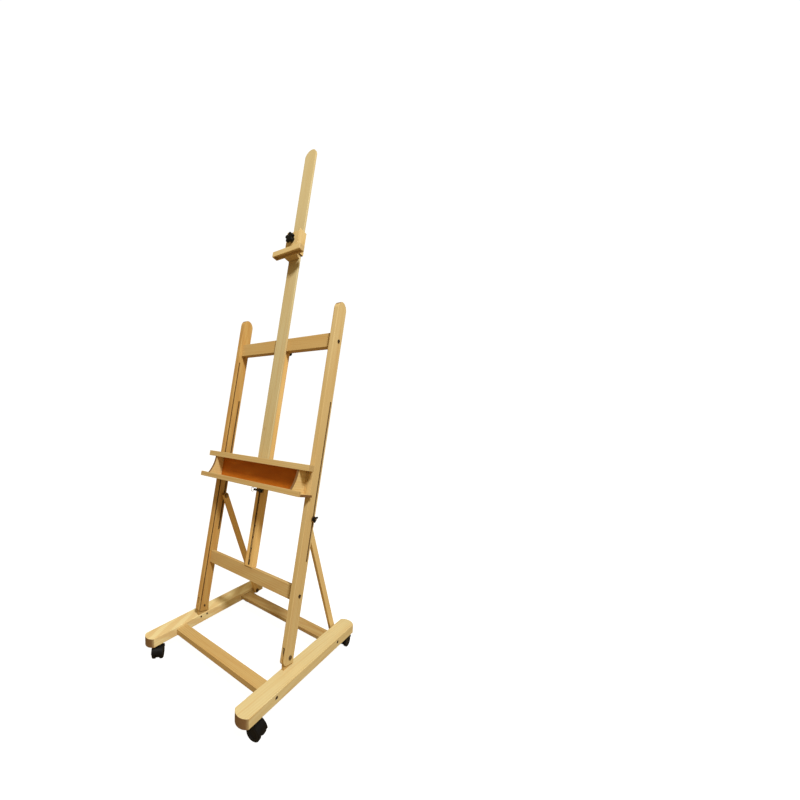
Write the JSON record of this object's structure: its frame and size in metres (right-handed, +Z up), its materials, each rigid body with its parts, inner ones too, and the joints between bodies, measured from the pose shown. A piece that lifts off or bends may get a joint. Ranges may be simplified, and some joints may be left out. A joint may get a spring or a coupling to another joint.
{
  "type": "h-frame studio easel",
  "caption": "Wooden h-frame studio easel with a tilting frame on two slotted rear struts, a sliding mast, a top canvas holder, a racked tray and twin-wheel castors.",
  "frame": {"origin": "on the floor, centred between the two base rails and midway along them", "axes": "+Z up, +X to the easel's right as the artist faces it, +Y towards the rear struts; the artist stands on the -Y side"},
  "size_m": [0.6277, 0.6718, 2.1178],
  "materials": {
    "varnished_pine": "clear satin varnish over pale honey pine",
    "hardboard": "smooth tempered hardboard, reddish brown",
    "dark_steel": "blackened steel",
    "zinc_steel": "zinc plated, lightly brushed",
    "black_steel": "black powder coat",
    "black_plastic": "moulded, fine texture",
    "castor_tread": "hard black nylon"
  },
  "bodies": {
    "base": {"base_rail_left": "varnished_pine", "base_rail_right": "varnished_pine", "base_front_crossbar": "varnished_pine", "base_rear_crossbar": "varnished_pine", "foot_tongue_left": "varnished_pine", "foot_tongue_right": "varnished_pine", "base_bolts": "dark_steel", "foot_tongue_screws": "dark_steel", "strut_foot_bolts": "dark_steel", "castor_plates": "dark_steel"},
    "h_frame": {"upright_left": "varnished_pine", "upright_right": "varnished_pine", "top_crossbar": "varnished_pine", "lower_crossbar": "varnished_pine", "fixed_post": "varnished_pine", "rack_strip": "zinc_steel", "rack_screws": "dark_steel", "frame_bolts": "dark_steel", "foot_pivot_bolts": "dark_steel"},
    "mast": {"sliding_mast": "varnished_pine", "mast_guide_rib": "varnished_pine"},
    "mast_clamp": {"mast_clamp_knob": "black_plastic", "mast_clamp_screw": "zinc_steel"},
    "holder": {"holder_block": "varnished_pine", "holder_cheek_left": "varnished_pine", "holder_cheek_right": "varnished_pine", "holder_back_plate": "varnished_pine", "holder_hood": "varnished_pine"},
    "holder_clamp": {"holder_knob": "black_plastic", "holder_screw": "zinc_steel"},
    "tray": {"tray_ledge": "varnished_pine", "tray_back_rail": "varnished_pine", "tray_floor": "varnished_pine", "tray_lip": "varnished_pine", "tray_back_panel": "hardboard", "tray_end_left": "varnished_pine", "tray_end_right": "varnished_pine", "tray_guide_left": "varnished_pine", "tray_guide_right": "varnished_pine", "latch_bracket": "black_steel"},
    "latch": {"latch_plate": "black_steel", "latch_ring": "zinc_steel"},
    "strut_left": {"strut_left": "varnished_pine"},
    "strut_slider_left": {"strut_bolt_left": "dark_steel", "strut_washers_left": "dark_steel"},
    "strut_nut_left": {"strut_knob_left": "black_plastic"},
    "strut_right": {"strut_right": "varnished_pine"},
    "strut_slider_right": {"strut_bolt_right": "dark_steel", "strut_washers_right": "dark_steel"},
    "strut_nut_right": {"strut_knob_right": "black_plastic"},
    "castor_front_left": {"castor_hood_front_left": "black_plastic"},
    "wheels_front_left": {"castor_wheels_front_left": "castor_tread"},
    "castor_front_right": {"castor_hood_front_right": "black_plastic"},
    "wheels_front_right": {"castor_wheels_front_right": "castor_tread"},
    "castor_rear_left": {"castor_hood_rear_left": "black_plastic"},
    "wheels_rear_left": {"castor_wheels_rear_left": "castor_tread"},
    "castor_rear_right": {"castor_hood_rear_right": "black_plastic"},
    "wheels_rear_right": {"castor_wheels_rear_right": "castor_tread"}
  },
  "joints": [
    {"name": "frame_tilt", "type": "hinge", "parent": "base", "child": "h_frame", "pos_m": [0, -0.0685, 0.1383], "axis": [-1, 0, 0], "range_deg": [-8, 8]},
    {"name": "mast_slide", "type": "slide", "parent": "h_frame", "child": "mast", "axis": [0, 0.2079, 0.9781], "range_m": [-0.095, 0.35]},
    {"name": "mast_clamp_turn", "type": "hinge", "parent": "h_frame", "child": "mast_clamp", "pos_m": [0, 0.18999, 1.27745], "axis": [0, 0.9781, -0.2079], "range_deg": [-360, 0]},
    {"name": "holder_slide", "type": "slide", "parent": "mast", "child": "holder", "axis": [0, 0.2079, 0.9781], "range_m": [-0.22, 0.33]},
    {"name": "holder_clamp_turn", "type": "hinge", "parent": "holder", "child": "holder_clamp", "pos_m": [0, 0.21015, 1.72197], "axis": [0, -0.9781, 0.2079], "range_deg": [0, 360]},
    {"name": "tray_slide", "type": "slide", "parent": "h_frame", "child": "tray", "axis": [0, 0.2079, 0.9781], "range_m": [-0.285, 0.095]},
    {"name": "latch_turn", "type": "hinge", "parent": "tray", "child": "latch", "pos_m": [0.018, 0.02614, 0.69274], "axis": [0, 0.2079, 0.9781], "range_deg": [0, 25], "stiffness_Nm_per_rad": 0.05, "springref_deg": -8.59},
    {"name": "strut_swing_left", "type": "hinge", "parent": "base", "child": "strut_left", "pos_m": [-0.2305, 0.2595, 0.085], "axis": [-1, 0, 0], "range_deg": [-8.38, 8.38]},
    {"name": "strut_bolt_slide_left", "type": "slide", "parent": "h_frame", "child": "strut_slider_left", "axis": [0, 0.2079, 0.9781], "range_m": [-0.0485, 0.0485]},
    {"name": "strut_knob_turn_left", "type": "hinge", "parent": "strut_slider_left", "child": "strut_nut_left", "pos_m": [-0.262, 0.04853, 0.62971], "axis": [-1, 0, 0], "range_deg": [0, 360]},
    {"name": "strut_swing_right", "type": "hinge", "parent": "base", "child": "strut_right", "pos_m": [0.2305, 0.2595, 0.085], "axis": [-1, 0, 0], "range_deg": [-8.38, 8.38]},
    {"name": "strut_bolt_slide_right", "type": "slide", "parent": "h_frame", "child": "strut_slider_right", "axis": [0, 0.2079, 0.9781], "range_m": [-0.0485, 0.0485]},
    {"name": "strut_knob_turn_right", "type": "hinge", "parent": "strut_slider_right", "child": "strut_nut_right", "pos_m": [0.262, 0.04853, 0.62971], "axis": [1, 0, 0], "range_deg": [0, 360]},
    {"name": "castor_swivel_front_left", "type": "hinge", "parent": "base", "child": "castor_front_left", "pos_m": [-0.2718, -0.279, 0.062], "axis": [0, 0, 1], "continuous": true},
    {"name": "castor_roll_front_left", "type": "hinge", "parent": "castor_front_left", "child": "wheels_front_left", "pos_m": [-0.25545, -0.29372, 0.026], "axis": [0.6691, 0.7431, 0], "continuous": true},
    {"name": "castor_swivel_front_right", "type": "hinge", "parent": "base", "child": "castor_front_right", "pos_m": [0.2718, -0.279, 0.062], "axis": [0, 0, 1], "continuous": true},
    {"name": "castor_roll_front_right", "type": "hinge", "parent": "castor_front_right", "child": "wheels_front_right", "pos_m": [0.29359, -0.27594, 0.026], "axis": [-0.1392, 0.9903, 0], "continuous": true},
    {"name": "castor_swivel_rear_left", "type": "hinge", "parent": "base", "child": "castor_rear_left", "pos_m": [-0.2718, 0.279, 0.062], "axis": [0, 0, 1], "continuous": true},
    {"name": "castor_roll_rear_left", "type": "hinge", "parent": "castor_rear_left", "child": "wheels_rear_left", "pos_m": [-0.27103, 0.25701, 0.026], "axis": [0.9994, 0.0349, 0], "continuous": true},
    {"name": "castor_swivel_rear_right", "type": "hinge", "parent": "base", "child": "castor_rear_right", "pos_m": [0.2718, 0.279, 0.062], "axis": [0, 0, 1], "continuous": true},
    {"name": "castor_roll_rear_right", "type": "hinge", "parent": "castor_rear_right", "child": "wheels_rear_right", "pos_m": [0.26912, 0.30084, 0.026], "axis": [-0.9925, -0.1219, 0], "continuous": true}
  ],
  "couplings": [
    {"joint": "strut_swing_left", "follows": "frame_tilt", "ratio": 1.035},
    {"joint": "strut_bolt_slide_left", "follows": "frame_tilt", "m_per_rad": 0.344},
    {"joint": "strut_swing_right", "follows": "frame_tilt", "ratio": 1.035},
    {"joint": "strut_bolt_slide_right", "follows": "frame_tilt", "m_per_rad": 0.344}
  ]
}
